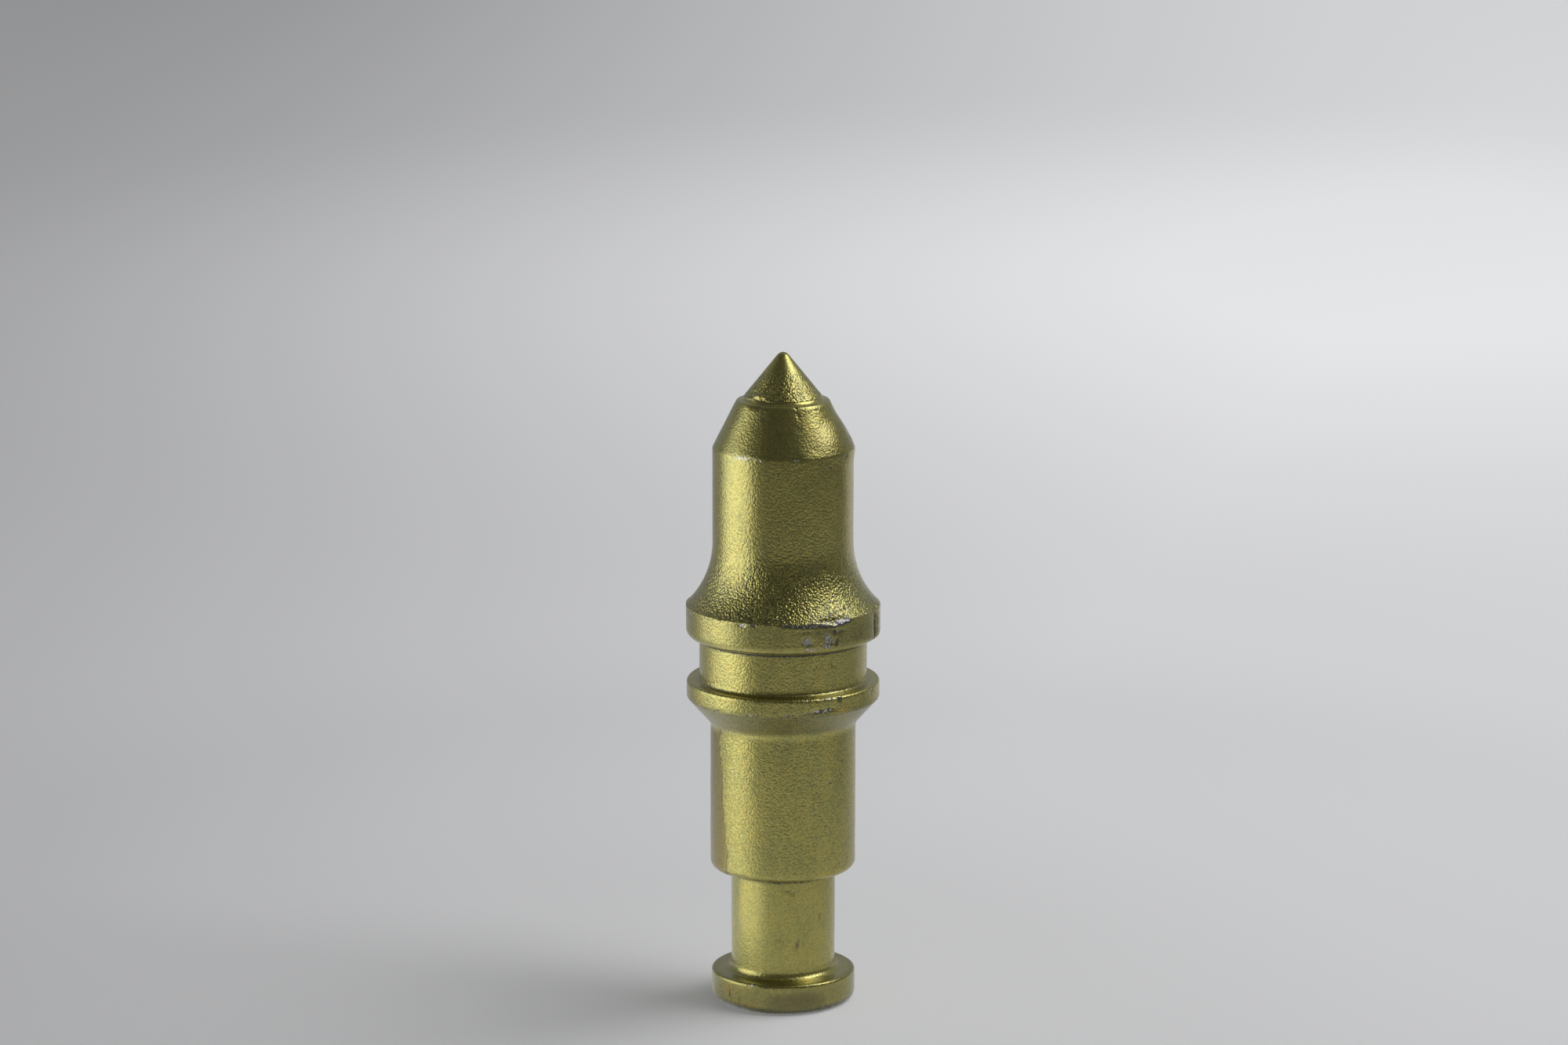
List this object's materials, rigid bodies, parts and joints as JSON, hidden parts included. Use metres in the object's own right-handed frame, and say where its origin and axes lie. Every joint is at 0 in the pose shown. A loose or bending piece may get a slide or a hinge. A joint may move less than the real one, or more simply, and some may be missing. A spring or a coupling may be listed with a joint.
{
  "type": "trencher tooth",
  "caption": "Conical cutting pick with a round shank, retainer neck, tail flange, puller groove and a brazed carbide point, painted gold.",
  "frame": {"origin": "centre of the flat tail face, on which the tool stands", "axes": "+Z along the tool's axis towards the carbide point, +X to the right of someone who looks along +Y at the pictured side"},
  "size_m": [0.0401, 0.04, 0.1368],
  "materials": {
    "painted_steel": "gold metallic paint sprayed over a shot-blasted forging, semi-gloss and pebbly, chipped to bare steel at edges",
    "painted_carbide": "the same gold paint over carbide, smooth near the point and pebbly at the foot",
    "painted_braze": "the same gold paint over a smooth braze fillet"
  },
  "bodies": {
    "root": {"pick_body": "painted_steel", "carbide_tip": "painted_carbide", "braze_joint": "painted_braze"}
  },
  "joints": []
}
